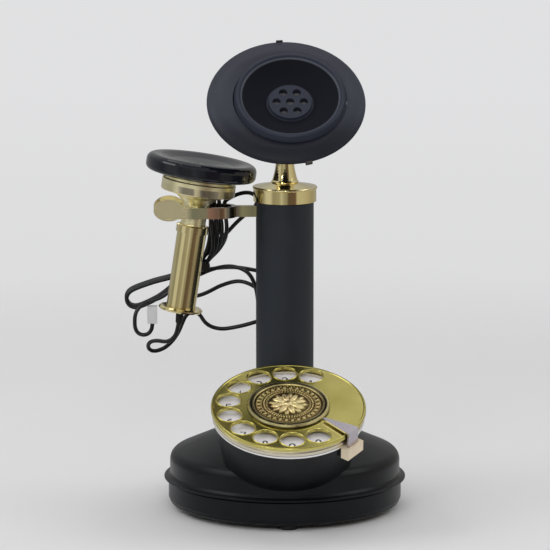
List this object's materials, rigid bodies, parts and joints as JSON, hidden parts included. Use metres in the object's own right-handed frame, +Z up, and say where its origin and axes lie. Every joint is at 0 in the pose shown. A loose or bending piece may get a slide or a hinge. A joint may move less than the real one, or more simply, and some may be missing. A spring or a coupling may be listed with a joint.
{
  "type": "corded landline phone",
  "caption": "Candlestick desk telephone with a rotary dial on its domed base, a receiver on a forked side hook and a tilting mouthpiece.",
  "frame": {"origin": "centre of the base tray's flat underside, on the column's axis; the rubber feet reach below it", "axes": "+Z up along the column, the dial faces -Y, the receiver hangs on the -X side"},
  "size_m": [0.1792, 0.2051, 0.2974],
  "materials": {
    "base_black": "satin black, smooth moulded",
    "column_black": "satin black paint",
    "rubber_black": "matt rubber",
    "screw_steel": "plain steel",
    "ballast_iron": "raw cast plate",
    "board_green": "circuit board",
    "ringer_black": "moulded",
    "polished_brass": "polished, bright",
    "dial_brass": "polished, slightly green gold",
    "antique_bronze": "antique gold with dark hollows",
    "plate_white": "white enamel with black numbers",
    "ring_silver": "bright silver",
    "bezel_grey": "satin grey",
    "stop_silver": "cool silver",
    "block_cream": "cream moulded",
    "mechanism_steel": "zinc plated",
    "spring_steel": "dark spring steel",
    "gear_brass": "machined",
    "contact_brown": "laminated block with brass leaf",
    "plunger_white": "moulded",
    "ear_black": "gloss black",
    "mouth_black": "satin black",
    "cup_black": "satin black",
    "capsule_grey": "plain capsule",
    "clip_bronze": "dull bronze",
    "cord_black": "smooth black sheath",
    "plug_clear": "clear moulded"
  },
  "bodies": {
    "base": {"base_shell": "base_black", "base_tray": "base_black", "rubber_feet": "rubber_black", "base_screws": "screw_steel", "ballast_plate": "ballast_iron", "circuit_board": "board_green", "ringer": "ringer_black", "cord_glands": "rubber_black", "column_tube": "column_black", "column_cap": "polished_brass", "stem": "polished_brass", "tilt_pin": "polished_brass", "switch_frame": "mechanism_steel", "hook_pin": "screw_steel", "switch_contacts": "contact_brown", "dial_frame": "mechanism_steel", "return_spring": "spring_steel", "number_plate": "plate_white", "trim_ring": "ring_silver", "bezel_ring": "bezel_grey", "finger_stop": "stop_silver", "stop_block": "block_cream", "line_cord": "cord_black", "receiver_lead": "cord_black"},
    "dial": {"finger_wheel": "dial_brass", "hub_ring": "polished_brass", "hub_medallion": "antique_bronze", "dial_spindle": "mechanism_steel", "dial_gear": "gear_brass"},
    "governor": {"governor": "mechanism_steel"},
    "hook": {"hook_lever": "polished_brass", "line_hank": "cord_black", "cord_tie": "cord_black", "plug_lead": "cord_black", "modular_plug": "plug_clear", "receiver_cord": "cord_black"},
    "plunger": {"switch_plunger": "plunger_white"},
    "receiver": {"ear_cap": "ear_black", "earpiece": "capsule_grey", "receiver_cup": "polished_brass", "receiver_barrel": "polished_brass", "tail_flange": "polished_brass", "receiver_gland": "rubber_black"},
    "transmitter": {"transmitter_back": "mouth_black", "mouth_brim": "mouth_black", "mouth_cup": "cup_black", "microphone": "capsule_grey", "rim_clips": "clip_bronze"}
  },
  "joints": [
    {"name": "dial_spin", "type": "hinge", "parent": "base", "child": "dial", "pos_m": [0, -0.066, 0.0749], "axis": [0, -0.3665, 0.9304], "range_deg": [-325, 0], "stiffness_Nm_per_rad": 0.004, "springref_deg": 34.38},
    {"name": "governor_spin", "type": "hinge", "parent": "base", "child": "governor", "pos_m": [-0.0181, -0.066, 0.0749], "axis": [0, -0.3665, 0.9304], "range_deg": [0, 1630]},
    {"name": "hook_pivot", "type": "hinge", "parent": "base", "child": "hook", "pos_m": [0, 0, 0.187], "axis": [0, 1, 0], "range_deg": [0, 7]},
    {"name": "receiver_slide", "type": "slide", "parent": "hook", "child": "receiver", "axis": [-0.9962, 0, 0.0872], "range_m": [0, 0.08]},
    {"name": "plunger_slide", "type": "slide", "parent": "base", "child": "plunger", "axis": [0, 0, -1], "range_m": [0, 0.0012]},
    {"name": "transmitter_tilt", "type": "hinge", "parent": "base", "child": "transmitter", "pos_m": [0, 0, 0.228], "axis": [1, 0, 0], "range_deg": [-15, 30]}
  ],
  "couplings": [
    {"joint": "governor_spin", "follows": "dial_spin", "ratio": -5},
    {"joint": "hook_pivot", "follows": "receiver_slide", "rad_per_m": 1.5},
    {"joint": "plunger_slide", "follows": "receiver_slide", "ratio": 0.0135}
  ]
}
